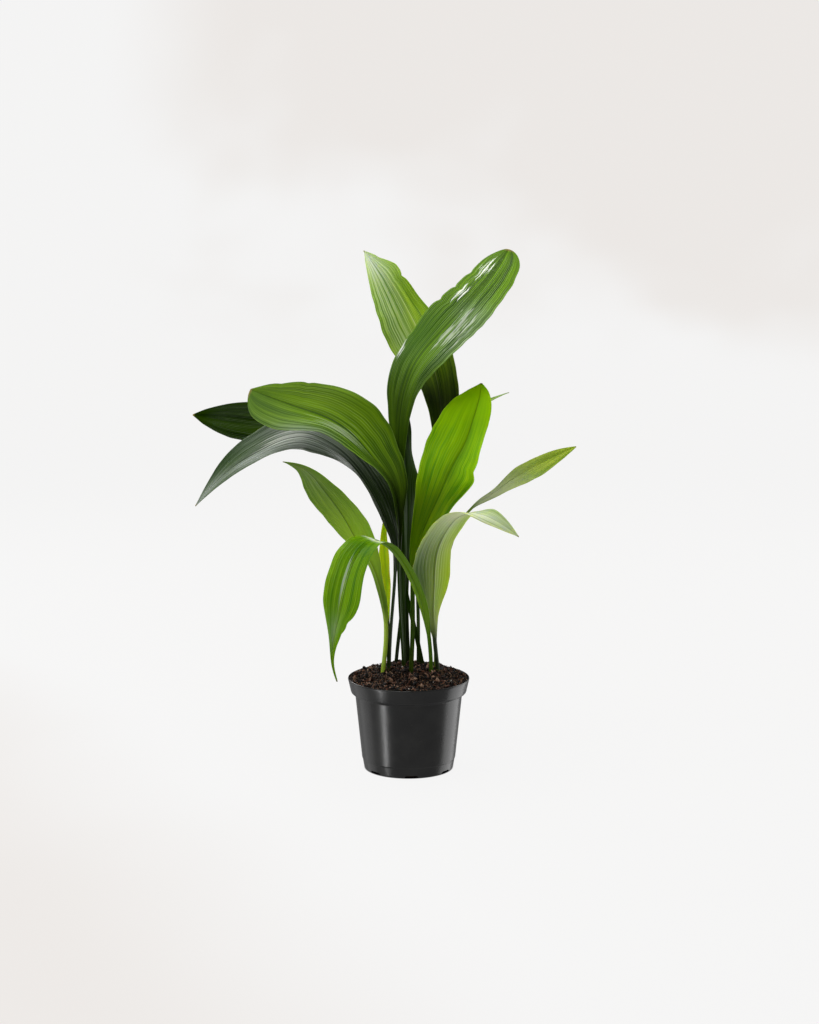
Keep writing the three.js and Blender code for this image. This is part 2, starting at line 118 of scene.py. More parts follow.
# Spine points are (x, y, z, twist in degrees) in mm. A stalk has a half width and a length.
# Fold is how steep the blade's halves rise, in degrees, at its foot and its tip.
# A wave has a height, a count and a phase.
# Widths are the half widths of the blade's left and right, from just above its foot to its tip.
LEAVES = dict(
    leaf_top_right=dict(
        spine=[(-6, 31, 96), (-6, 30, 123), (-7, 23, 189), (-7, 18, 255), (-10, 13, 358), (-12, 13, 407),
               (-9, 19, 449), (9, 34, 500), (37, 56, 533), (69, 82, 566), (97, 104, 596), (126, 128, 635)],
        bearing=-30, stalk=(2.5, 255), fold=(14, 8), wave=(3, 3.2, 0.1),
        widths=([9, 17, 26, 33, 37, 35, 29, 12], [9, 18, 26, 42, 46, 42, 38, 22])),
    leaf_top_left=dict(
        spine=[(-1, 40, 94), (-1, 43, 121), (-3, 53, 188), (0, 60, 250), (17, 62, 325), (34, 66, 388),
               (40, 76, 431), (32, 88, 486), (13, 100, 533), (-8, 112, 572), (-29, 124, 604),
               (-57, 140, 633)],
        bearing=15, stalk=(2.5, 288), fold=(12, 8), wave=(3, 3, 0.3),
        widths=([10, 20, 31, 44, 46, 37, 23, 1], [14, 24, 29, 31, 27, 21, 16, 1])),
    leaf_centre=dict(
        spine=[(-18, 41, 93), (-16, 41, 120), (-10, 40, 177), (-5, 39, 228), (-2, 33, 330), (-5, 32, 387),
               (-6, 35, 429), (-1, 44, 471)],
        bearing=55, stalk=(2.4, 162), fold=(14, 14), wave=(3, 3, 0.6),
        widths=([9, 12, 13, 13, 12, 11, 8, 1], [9, 15, 19, 19, 16, 11, 6, 1])),
    leaf_bright=dict(
        spine=[(3, -7, 92), (3, -8, 119), (5, -10, 183), (10, -16, 276), (23, -14, 312), (38, -8, 343),
               (53, 2, 375), (68, 14, 401), (79, 28, 430), (87, 44, 455), (90, 62, 472)],
        bearing=-15, stalk=(2.4, 156), fold=(8, 8), sag=0.05, wave=(4, 2.5, 0.3),
        widths=([10, 19, 30, 39, 45, 41, 29, 3], [11, 20, 22, 33, 24, 20, 17, 3])),
    leaf_arch_left=dict(
        spine=[(-6, 19, 94), (-6, 16, 121), (-9, 8, 178), (-11, -1, 223), (-12, -16, 275), (-12, -27, 319),
               (-19, -28, 357), (-41, -23, 387, -4), (-65, -16, 414, -10), (-95, -8, 435, -18),
               (-132, -2, 448, -26), (-192, 7, 469, -32)],
        bearing=56, stalk=(2.5, 170), fold=(40, 8), wave=(3, 3, 0.1),
        widths=([10, 20, 26, 30, 33, 38, 42, 26], [5, 10, 33, 48, 48, 42, 27, 4])),
    leaf_back_left=dict(
        spine=[(22, 26, 96), (17, 30, 123), (5, 40, 177), (-11, 50, 249), (-21, 56, 320), (-41, 70, 375),
               (-80, 86, 410), (-137, 100, 422), (-186, 110, 420), (-233, 118, 424), (-275, 124, 426)],
        bearing=25, stalk=(2.4, 245), fold=(10, 10), wave=(3, 3, 0.5),
        widths=([12, 22, 28, 32, 35, 35, 28, 3], [12, 20, 25, 28, 29, 27, 19, 3])),
    leaf_low_left=dict(
        spine=[(-24, 11, 93), (-24, 12, 120), (-21, 14, 184), (-17, 15, 235), (-17, 12, 262),
               (-24, 10, 294), (-55, 16, 356), (-82, 24, 386, -10), (-106, 30, 401, -18),
               (-129, 34, 408, -24), (-152, 36, 405, -28), (-183, 38, 391, -32), (-216, 38, 371, -34),
               (-264, 35, 322, -30)],
        bearing=68, stalk=(2.4, 149), fold=(30, 8), wave=(3, 3, 0.2),
        widths=([14, 20, 24, 28, 25, 16, 9, 1], [18, 30, 34, 34, 32, 29, 14, 1])),
    leaf_side_left=dict(
        spine=[(-34, 3, 91), (-32, 0, 118), (-28, -6, 162), (-29, -12, 198), (-35, -22, 232),
               (-45, -34, 263), (-64, -48, 297), (-78, -58, 324), (-101, -72, 359), (-124, -84, 385),
               (-147, -94, 394)],
        bearing=150, stalk=(2.4, 94), fold=(10, 10), wave=(1.5, 2.5, 0.2),
        widths=([5, 8, 18, 28, 28, 19, 8, 1], [5, 7, 10, 22, 34, 33, 16, 1])),
    leaf_front_left=dict(
        spine=[(29, 2, 94), (28, -2, 121), (26, -8, 156), (16, -24, 213), (-6, -50, 266), (-19, -64, 285),
               (-30, -76, 295), (-41, -88, 299, -8), (-51, -100, 295, -18), (-60, -110, 285, -25),
               (-69, -122, 265, -25), (-80, -136, 221, -25), (-88, -144, 180, -25), (-88, -145, 163, -25),
               (-83, -146, 143, -25)],
        bearing=135, stalk=(2.4, 76), fold=(10, 10), wave=(1, 2.5, 0.2),
        widths=([6.5, 9, 10, 10, 11.5, 13, 16, 18.5, 20, 9, 2, 1],
                [6.5, 9, 10, 11, 15, 20, 24, 25, 22, 9.5, 2, 1])),
    leaf_front_right=dict(
        spine=[(39, 9, 95), (36, 6, 122), (32, 2, 160), (30, -4, 196), (31, -14, 238), (35, -28, 278),
               (46, -43, 305), (61, -58, 324), (76, -70, 329), (90, -80, 328, 15), (129, -100, 306, 30)],
        bearing=-140, stalk=(2.4, 70), fold=(10, 10), wave=(2, 2.5, 0.2),
        widths=([12, 26, 28, 30, 28, 22, 12, 1], [12, 24, 34, 35, 30, 21, 12, 1])),
    leaf_far_right=dict(
        spine=[(33, 24, 95), (33, 24, 122), (36, 24, 193), (44, 28, 237), (66, 40, 303), (81, 47, 320),
               (96, 53, 329), (128, 66, 350), (166, 82, 370), (212, 102, 388)],
        bearing=-30, stalk=(1.3, 235), fold=(14, 14), wave=(1, 2.5, 0.2),
        widths=([4, 5, 8, 11, 11, 9, 6, 1], [5, 10, 15, 19, 20, 15, 8, 1])),
    leaf_young=dict(
        spine=[(-26, -2, 92), (-25, -1, 119), (-26, 5, 190), (-28, 19, 240), (-30, 28, 275),
               (-30, 38, 305)],
        bearing=20, stalk=(1.8, 92), fold=(8, 8), wave=(1, 2.5, 0.2),
        widths=([4, 7, 9, 9, 8, 6, 4, 1], [3, 4, 5, 5, 5, 4, 3, 1])),
    leaf_back_right=dict(
        spine=[(12, 32, 96), (12, 38, 122), (12, 53, 175), (12, 80, 247), (22, 105, 306), (40, 140, 360),
               (62, 175, 398), (86, 205, 424), (134, 250, 443)],
        bearing=-35, stalk=(2, 186), fold=(10, 10), wave=(2, 2.5, 0.2),
        widths=([8, 14, 18, 18, 14, 8, 4, 1], [8, 14, 18, 18, 14, 8, 4, 1])),
)


def srgb(*display):
    """Linear colour of a display colour given in 0 to 255."""
    levels = [level / 255 for level in display]
    return tuple(c / 12.92 if c <= 0.04045 else ((c + 0.055) / 1.055) ** 2.4 for c in levels)


# Display colours in 0 to 255 of the painted white glints and sheen on a leaf, and of its dry tip
WHITE = (240, 244, 232)
PAINTED_SHEEN = (186, 194, 166)
SILVER = (196, 202, 196)
PALE = (232, 238, 224)
DRY = (128, 116, 62)

# The zones paint sheen, white glints, light shining through and shade onto a face, and a few darker green
# patches.
# How each leaf looks, in display colours: its two faces from shaded to pale, its stalk and how it shines.
# A painted light zone is (along, reach along, across, reach across, strength, tint).
# A notch is (side, place along the blade, width, depth).
# Painted shade is (where along the blade it is full, where it ends, what it leaves of the colour).
# Pleats are their turns across each half and their height in mm.
# Glow is the light that passes through, gloss the skin's roughness, shine how strongly it reflects,
# veins how clear they are, and glints how fine the painted white highlight streaks are across and along.
LOOKS = dict(
    leaf_top_right=dict(
        slot="leaf_green", top=((26, 58, 0), (98, 138, 4)), under=((50, 80, 14), (110, 140, 50)),
        stalk=(32, 52, 8), foot=(52, 56, 16), glow=0.1, gloss=0.46, shine=0.05, veins=0.7,
        shade=(0.25, 0.5, 0.42), pleats=(6, 0.42), glints=(15, 8),
        top_painted_light=[(0.6, 0.12, 0.85, 0.35, 0.18, SILVER), (0.7, 0.05, 0.4, 0.6, 0.18, SILVER),
                   (0.9, 0.08, -0.42, 0.48, 0.95, WHITE), (0.76, 0.06, -0.5, 0.36, 0.9, WHITE),
                   (0.46, 0.07, -0.94, 0.17, 0.9, WHITE), (0.6, 0.16, 0.42, 0.62, 0.34, WHITE),
                   (0.54, 0.14, -0.55, 0.55, 0.7, (52, 90, 0))],
        notches=[(-1, 0.7, 0.012, 0.1), (-1, 0.78, 0.008, 0.08), (-1, 0.86, 0.014, 0.1)]),
    leaf_top_left=dict(
        slot="leaf_green", top=((72, 116, 0), (160, 192, 36)), under=((60, 96, 14), (120, 150, 56)),
        stalk=(28, 48, 6), foot=(36, 40, 14), glow=0.4, gloss=0.34, shine=0.2, veins=0.6,
        shade=(0.24, 0.48, 0.11), pleats=(7, 0.4), rib=(196, 214, 130),
        top_painted_light=[(0.97, 0.12, -0.4, 1.2, 1, PALE), (0.74, 0.16, -0.5, 0.4, 0.35, SILVER),
                   (0.5, 0.1, -0.5, 0.4, 0.4, SILVER)],
        notches=[(1, 0.812, 0.014, 0.18), (1, 0.868, 0.024, -0.16), (1, 0.935, 0.022, 0.22)]),
    leaf_centre=dict(
        slot="leaf_dark", top=((16, 40, 0), (56, 86, 8)), under=((14, 28, 6), (36, 58, 18)),
        stalk=(26, 42, 6), foot=(34, 38, 14), glow=0.03, gloss=0.34, shine=0.03, pleats=(5, 0.22)),
    leaf_bright=dict(
        slot="leaf_light", top=((78, 144, 0), (158, 196, 0)), under=((96, 144, 6), (150, 184, 30)),
        stalk=(40, 62, 8), foot=(84, 92, 24), glow=0.8, gloss=0.5, shine=0.04, shade=(0.28, 0.58, 0.42),
        veins=0.22, pleats=(6, 0.15),
        top_painted_light=[(0.92, 0.2, 0, 2, 0.8, (168, 216, 0)), (0.5, 0.25, 0, 0.2, 0.5, (60, 104, 0))],
        notches=[(1, 0.55, 0.03, 0.12)]),
    leaf_arch_left=dict(
        slot="leaf_green", top=((40, 74, 0), (106, 142, 16)), under=((34, 56, 10), (68, 94, 30)),
        stalk=(36, 58, 8), foot=(46, 52, 16), glow=0.14, gloss=0.36, shine=0.07, veins=0.3,
        shade=(0.2, 0.5, 0.14), pleats=(8, 0.24),
        top_painted_light=[(0.72, 0.13, -0.98, 0.26, 0.36, SILVER), (0.62, 0.2, -0.3, 0.6, 0.22, WHITE),
                   (0.72, 0.16, 0.6, 0.4, 0.2, (124, 150, 24)), (0.96, 0.12, -0.2, 1, 0.5, (58, 90, 18))],
        glints=(24, 3), notches=[(1, 0.8, 0.012, 0.05), (1, 0.9, 0.016, 0.06)]),
    leaf_back_left=dict(
        slot="leaf_dark", top=((8, 24, 0), (32, 52, 2)), under=((16, 34, 4), (44, 68, 16)),
        stalk=(28, 48, 6), foot=(36, 40, 14), glow=0.04, gloss=0.5, shine=0, pleats=(6, 0.2)),
    leaf_low_left=dict(
        slot="leaf_dark", top=((14, 38, 0), (56, 86, 14)), under=((16, 30, 6), (44, 62, 24)),
        stalk=(28, 48, 6), foot=(36, 40, 14), glow=0.03, gloss=0.32, shine=0.25, veins=0.6,
        shade=(0.2, 0.5, 0.5), pleats=(6, 0.42),
        top_painted_light=[(0.56, 0.16, 0, 1, 0.8, SILVER), (0.95, 0.1, 0, 0.9, 0.9, SILVER),
                   (0.76, 0.1, -0.5, 0.4, 0.8, SILVER), (0.62, 0.14, 0, 0.9, 0.6, WHITE),
                   (0.83, 0.1, 0.8, 0.5, 0.75, (36, 60, 18)), (0.6, 0.16, 0.5, 0.4, 0.6, (30, 48, 18))],
        rib=(6, 12, 4), glints=(16, 2.4)),
    leaf_side_left=dict(
        slot="leaf_green", top=((78, 118, 14), (130, 164, 48)), under=((78, 116, 12), (130, 162, 44)),
        stalk=(146, 172, 56), foot=(204, 208, 116), glow=0.6, gloss=0.4, shine=0.15, veins=0.4,
        pleats=(5, 0.18),
        under_painted_light=[(0.86, 0.1, 0.2, 0.7, 0.35, PAINTED_SHEEN), (0.42, 0.2, 0, 1.2, 0.9, (168, 206, 48))]),
    leaf_front_left=dict(
        slot="leaf_green", top=((66, 118, 0), (124, 166, 2)), under=((76, 120, 12), (126, 160, 44)),
        stalk=(66, 100, 18), foot=(50, 66, 20), glow=0.5, gloss=0.33, shine=0.05, pleats=(5, 0.3),
        glints=(20, 1.3),
        top_painted_light=[(0.66, 0.15, 0.18, 0.24, 0.42, WHITE), (0.84, 0.05, 0.3, 0.6, 0.4, SILVER),
                   (0.54, 0.04, 0.1, 1.2, 0.6, (44, 100, 0)),
                   (0.478, 0.01, 0, 1.2, 0.8, (230, 238, 216))],
        notches=[(-1, 0.8, 0.012, 0.2), (-1, 0.84, 0.01, 0.14)]),
    leaf_front_right=dict(
        slot="leaf_light", top=((120, 150, 60), (196, 206, 140)), under=((132, 160, 52), (200, 212, 136)),
        stalk=(34, 54, 8), foot=(176, 180, 84), glow=1, gloss=0.44, shine=0.4, veins=0.5, pleats=(6, 0.3),
        top_painted_light=[(0.85, 0.2, 0.3, 1, 0.8, PALE)],
        under_painted_light=[(0.69, 0.12, 0.2, 1, 1, (232, 235, 218)),
                     (0.3, 0.26, -0.85, 0.7, 1, (190, 220, 6)), (0.36, 0.2, 0.8, 0.5, 0.9, (70, 108, 8)),
                     (0.55, 0.12, 0.3, 0.5, 0.45, SILVER)]),
    leaf_far_right=dict(
        slot="leaf_light", top=((124, 158, 14), (186, 206, 70)), under=((100, 138, 26), (150, 176, 70)),
        stalk=(120, 146, 50), foot=(84, 84, 30), glow=0.2, gloss=0.4, shine=0.2, pleats=(4, 0.14),
        top_painted_light=[(0.12, 0.28, 0, 1.6, 1, (238, 244, 206))]),
    leaf_young=dict(
        # Its top is a young leaf's yellow-green, brightened with painted light that shines through it
        slot="leaf_light", top=((212, 252, 12), (230, 255, 60)), under=((150, 192, 12), (190, 218, 44)),
        stalk=(40, 58, 14), foot=(34, 48, 14), glow=0.9, gloss=0.42, shine=0.2, pleats=(3, 0.12)),
    leaf_back_right=dict(
        slot="leaf_green", top=((84, 124, 30), (150, 176, 90)), under=((80, 118, 34), (150, 172, 96)),
        stalk=(36, 58, 8), foot=(40, 46, 16), glow=0.1, gloss=0.4, shine=0.2, pleats=(4, 0.16)),
)


# Plain mathematics

def mix(a, b, t):
    return a + (b - a) * t


def smooth(x, low, high):
    t = np.clip((x - low) / (high - low), 0, 1)
    return t * t * (3 - 2 * t)


def natural_spline(ts, ys):
    """Natural cubic spline through (ts, ys), as a function of an array."""
    ts, ys = np.asarray(ts, float), np.asarray(ys, float)
    count = len(ts)
    step = np.diff(ts)
    matrix = np.eye(count)
    right = np.zeros(count)
    for i in range(1, count - 1):
        matrix[i, i - 1:i + 2] = step[i - 1], 2 * (step[i - 1] + step[i]), step[i]
        right[i] = 6 * ((ys[i + 1] - ys[i]) / step[i] - (ys[i] - ys[i - 1]) / step[i - 1])
    second = np.linalg.solve(matrix, right)

    def at(t):
        t = np.asarray(t, float)
        i = np.clip(np.searchsorted(ts, t) - 1, 0, count - 2)
        a = (ts[i + 1] - t) / step[i]
        b = 1 - a
        bend = (a ** 3 - a) * second[i] + (b ** 3 - b) * second[i + 1]
        return a * ys[i] + b * ys[i + 1] + bend * step[i] ** 2 / 6
    return at


def ripple(x, seed, lowest, highest):
    """Smooth irregular curve between -1 and 1: a seeded sum of sine waves."""
    rng = np.random.default_rng(seed)
    rates = rng.uniform(lowest, highest, RIPPLE_WAVES)
    starts = rng.uniform(0, TURN, RIPPLE_WAVES)
    sizes = rng.uniform(0.5, 1, RIPPLE_WAVES)
    total = sum(s * np.sin(TURN * r * x + p) for r, p, s in zip(rates, starts, sizes))
    return total / np.sqrt((sizes ** 2).sum() * 1.6)


def unit(vectors):
    return vectors / norm(vectors, axis=-1, keepdims=True)


# Meshes

def new_object(name, data):
    item = bpy.data.objects.new(name, data)
    bpy.context.scene.collection.objects.link(item)
    return item


def mesh_object(name, vertices, faces, materials, face_materials=None, flat=False):
    """New piece from vertices in mm."""
    mesh = bpy.data.meshes.new(name)
    mesh.from_pydata(np.asarray(vertices) * MM, [], faces)
    for material in materials:
        mesh.materials.append(material)
    if face_materials is not None:
        mesh.polygons.foreach_set("material_index", np.asarray(face_materials, np.int32))
    mesh.polygons.foreach_set("use_smooth", np.full(len(mesh.polygons), not flat))
    mesh.update()
    return new_object(name, mesh)


def set_attribute(piece, name, values):
    attribute = piece.data.attributes.new(name, "FLOAT", "POINT")
    attribute.data.foreach_set("value", np.asarray(values, np.float32))


def grid_faces(rows, around):
    """Quads of a grid whose rows are closed rings of this many points."""
    row = np.arange(rows - 1)[:, None] * around
    here = np.arange(around)[None, :]
    after = (here + 1) % around
    quads = np.stack([row + here, row + after, row + around + after, row + around + here], axis=-1)
    return quads.reshape(-1, 4).tolist()


# Leaves

BESIDE_RIB = [0.012, 0.025, 0.04, 0.06, 0.09]
TOWARDS_EDGE = [0.975, 0.992, 1]
HALF_COLUMNS = BESIDE_RIB + list(np.linspace(0.12, 0.94, 24)) + TOWARDS_EDGE
COLUMNS = np.array([-u for u in reversed(HALF_COLUMNS)] + [0] + HALF_COLUMNS)
STALK_RING_STEP = 8
BLADE_ROWS = 112
TYPICAL_BLADE = 350
TYPICAL_HALF = 34


def spine_frames(leaf):
    """Distance along the spine, place, upper-face normal and side vector at even samples."""
    points = np.array([list(p) + [0] * (4 - len(p)) for p in leaf["spine"]], float)
    chords = norm(np.diff(points[:, :3], axis=0), axis=1)
    knots = np.concatenate([[0], np.cumsum(chords)])
    even = np.linspace(0, knots[-1], SAMPLES)
    track = np.stack([natural_spline(knots, points[:, k])(even) for k in range(4)], axis=1)
    place, twist = track[:, :3], np.radians(track[:, 3])
    along = np.concatenate([[0], np.cumsum(norm(np.diff(place, axis=0), axis=1))])
    tangents = unit(np.gradient(place, axis=0))
    bearing = math.radians(leaf["bearing"])
    carried = np.array([math.sin(bearing), -math.cos(bearing), 0])
    normals, sides = np.empty_like(place), np.empty_like(place)
    for i, forward in enumerate(tangents):
        carried = carried - carried.dot(forward) * forward
        carried /= norm(carried)
        side = np.cross(forward, carried)
        normals[i] = carried * math.cos(twist[i]) + side * math.sin(twist[i])
        sides[i] = np.cross(forward, normals[i])
    return along, place, normals, sides


def at_stations(along, values, stations):
    return np.stack([np.interp(stations, along, values[:, k]) for k in range(3)], axis=1)


def leaf_stations(leaf, length):
    """Distances along the leaf, and how far along the blade each one is (0 in the stalk)."""
    stalk = leaf["stalk"][1]
    rings = np.linspace(0, stalk, max(2, round(stalk / STALK_RING_STEP)), endpoint=False)
    tip = 1 - TIP_ROUND * (1 - np.sin(np.linspace(0, math.pi / 2, 13)[1:]))
    blade = np.concatenate([np.linspace(0, 1 - TIP_ROUND, BLADE_ROWS), tip])
    stations = np.concatenate([rings, stalk + blade * (length - stalk)])
    return stations, np.concatenate([np.zeros(len(rings)), blade])


def half_widths(leaf, look, seed, v, scale):
    """Half width of each side of the blade, with an uneven margin and the leaf's own notches."""
    past = np.maximum(0, v - (1 - TIP_ROUND)) / TIP_ROUND
    close = np.sqrt(np.maximum(0, 1 - past ** 2))
    halves = {}
    for sign, widths in zip((-1, 1), leaf["widths"]):
        given = [leaf["stalk"][0], *widths]
        half = np.maximum(natural_spline(np.linspace(0, 1, len(given)), given)(v), 0) * close
        uneven = 0.012 * (1 + ripple(v * scale, seed + sign, 3, 16)) * smooth(v, 0.04, 0.2)
        half = half * (1 - uneven)
        for side, middle, width, depth in look.get("notches", ()):
            if side == sign:
                half = half * (1 - depth * np.exp(-np.abs((v - middle) / width) ** 1.4))
        halves[sign] = half + TIP_HALF_WIDTH
    return halves


def leaf_piece(name):
    """One leaf as a closed body, stalk and blade, with a skin for each face."""
    leaf, look = LEAVES[name], LOOKS[name]
    seed = 100 + 10 * list(LEAVES).index(name)
    along, place, normals, sides = spine_frames(leaf)
    stations, v = leaf_stations(leaf, along[-1])
    stalk_width, stalk_length = leaf["stalk"]
    scale = (along[-1] - stalk_length) / TYPICAL_BLADE
    halves = half_widths(leaf, look, seed, v, scale)
    centre, normal, side = (at_stations(along, values, stations)[:, None, :]
                            for values in (place, normals, sides))
    u, v = COLUMNS[None, :], v[:, None]
    half = np.where(u > 0, halves[1][:, None], halves[-1][:, None])
    spread = smooth(v, 0, SPREAD_OVER)
    fold = np.radians(mix(*leaf["fold"], v)) * np.minimum(1, v * 8)

    # Middle surface, as in the solid
    wave_height, waves, phase = leaf["wave"]
    turn = waves * v + phase + np.where(u > 0, WAVE_LEAD, 0)
    wave = wave_height * u ** 2 * np.sin(TURN * turn) * np.sin(math.pi * v)
    sag = leaf.get("sag", SAG) * half * u ** 2 * np.minimum(1, v * 6)
    spot = mix(np.sin(math.pi / 2 * u), u, spread)
    rise = np.abs(spot) * half * np.sin(fold) - sag + wave

    # Pleats along the veins, and a margin that is never quite straight
    away = np.abs(u)
    grown = np.sqrt(np.maximum(0, np.sin(math.pi * v)))
    drift = np.where(u > 0, ripple(v, seed + 3, 0.4, 1.6), ripple(v, seed + 4, 0.4, 1.6))
    pleat_turns, pleat_height = look["pleats"]
    turns = pleat_turns * away + 0.16 * drift + np.where(u > 0, 0.2, 0.55)
    strength = 0.7 + 0.3 * ripple(away * 2 + v * 1.3, seed + 5, 0.5, 1.5)
    pleats = np.sin(TURN * turns) + 0.45 * np.sin(TURN * 2.37 * turns + 1.3)
    inner = smooth(away, 0.03, 0.16) * (1 - 0.8 * smooth(away, 0.86, 1))
    full = np.clip(half / TYPICAL_HALF, 0, 1)
    rise = rise + pleat_height * pleats * strength * inner * grown * full ** 1.5
    crinkle = np.where(u > 0, ripple(v * scale, seed + 6, 5, 19), ripple(v * scale, seed + 7, 5, 19))
    rise = rise + 0.5 * crinkle * away ** 5 * grown * full
    middle = centre + side * (spot * half * np.cos(fold))[..., None] + normal * rise[..., None]

    # Half thickness of each face: a grooved oval stalk that flattens into a thin blade with a keel below
    across_mm = np.abs(u) * half
    oval = np.cos(math.pi / 2 * u)
    stalk_half = stalk_width * STALK_THICKNESS_RATIO
    rib = mix(RIB_AT_FOOT, RIB_AT_TIP, v) / 2
    sheet = mix(LAMINA, MARGIN, away ** 3) / 2
    groove = 0.5 * np.exp(-(u / 0.38) ** 2)
    stalk_top = stalk_half * (oval - groove) + MARGIN / 2 * (1 - oval)
    stalk_under = stalk_half * oval + MARGIN / 2 * (1 - oval)
    channel = 0.16 * np.exp(-(across_mm / 0.9) ** 2)
    keel = (rib - LAMINA / 2 + 0.15) * np.exp(-(across_mm / 1.3) ** 2)
    upper = mix(stalk_top, sheet - channel, spread)
    under = mix(stalk_under, sheet + keel, spread)
    outward = unit(np.cross(np.gradient(middle, axis=1), np.gradient(middle, axis=0)))
    top = middle + outward * upper[..., None]
    bottom = middle - outward * under[..., None]

    # One closed ring of points at each station: the upper face left to right, the under face back
    rings = np.concatenate([top, bottom[:, ::-1]], axis=1)
    rows, around = rings.shape[:2]
    faces = grid_faces(rows, around)
    columns = around // 2
    kinds = np.zeros((rows - 1, around), np.int32)
    kinds[:, columns:around - 1] = 1
    faces.append(list(range(around)))
    faces.append(list(range((rows - 1) * around, rows * around))[::-1])
    faces = [face[::-1] for face in faces]
    kinds = kinds.ravel().tolist() + [0, 0]
    materials = [leaf_material(name, "top"), leaf_material(name, "under")]
    piece = mesh_object(name + "_fine", rings.reshape(-1, 3), faces, materials, kinds)
    before = (stations - stalk_length) / stalk_length
    position = np.where(before < 0, before, v[:, 0])
    set_attribute(piece, "across", np.tile(np.concatenate([COLUMNS, COLUMNS[::-1]]), rows))
    set_attribute(piece, "along", np.repeat(position, around))
    both = (halves[1] + halves[-1]) / 2
    set_attribute(piece, "breadth", np.repeat(np.clip(both / 30, 0, 1), around))
    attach(piece, BODY)
    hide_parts(name)


# Shaders

class Nodes:
    """A node tree built one node at a time."""

    def __init__(self, tree):
        self.tree = tree

    def fill(self, socket, value):
        if isinstance(value, bpy.types.NodeSocket):
            self.tree.links.new(value, socket)
        elif isinstance(value, tuple) and len(value) == 3 and socket.type == "RGBA":
            socket.default_value = (*value, 1)
        else:
            socket.default_value = value

    def add(self, kind, inputs, output=0, **settings):
        item = self.tree.nodes.new("ShaderNode" + kind)
        for key, value in settings.items():
            setattr(item, key, value)
        for key, value in inputs.items():
            self.fill(item.inputs[key], value)
        return item.outputs[output]

    def math(self, operation, *values):
        return self.add("Math", dict(enumerate(values)), operation=operation)

    def plus(self, a, b):
        return self.math("ADD", a, b)

    def minus(self, a, b):
        return self.math("SUBTRACT", a, b)

    def times(self, a, b):
        return self.math("MULTIPLY", a, b)

    def scaled(self, value, scale, base):
        """The value times a scale, on top of a base."""
        return self.math("MULTIPLY_ADD", value, scale, base)

    def ramp(self, value, low, high, first=0, last=1):
        inputs = {"Value": value, "From Min": low, "From Max": high, "To Min": first, "To Max": last}
        return self.add("MapRange", inputs, interpolation_type="SMOOTHSTEP")

    def mix(self, factor, a, b, blend="MIX"):
        return self.add("Mix", {0: factor, 6: a, 7: b}, 2, data_type="RGBA", blend_type=blend)

    def vector(self, x, y, z):
        return self.add("CombineXYZ", {0: x, 1: y, 2: z})

    def split(self, vector):
        return self.add("SeparateXYZ", {0: vector}).node.outputs

    def from_axis(self, x, y):
        """Distance from the pot's axis."""
        return self.math("SQRT", self.plus(self.times(x, x), self.times(y, y)))

    def noise(self, vector, scale, detail, roughness=0.5):
        inputs = {"Vector": vector, "Scale": scale, "Detail": detail, "Roughness": roughness}
        return self.add("TexNoise", inputs, "Fac")

    def position(self):
        return self.add("TexCoord", {}, "Object")


class Shader(Nodes):
    """The nodes of a new Principled material."""

    def __init__(self, name):
        self.material = bpy.data.materials.new(name)
        self.material.use_nodes = True
        super().__init__(self.material.node_tree)

    def dress(self, **values):
        """Fill the surface's sockets, named with underscores for spaces."""
        surface = self.tree.nodes["Principled BSDF"]
        for key, value in values.items():
            self.fill(surface.inputs[key.replace("_", " ")], value)
        return self.material

    def bump(self, height, distance, strength):
        return self.add("Bump", {"Height": height, "Distance": distance, "Strength": strength})


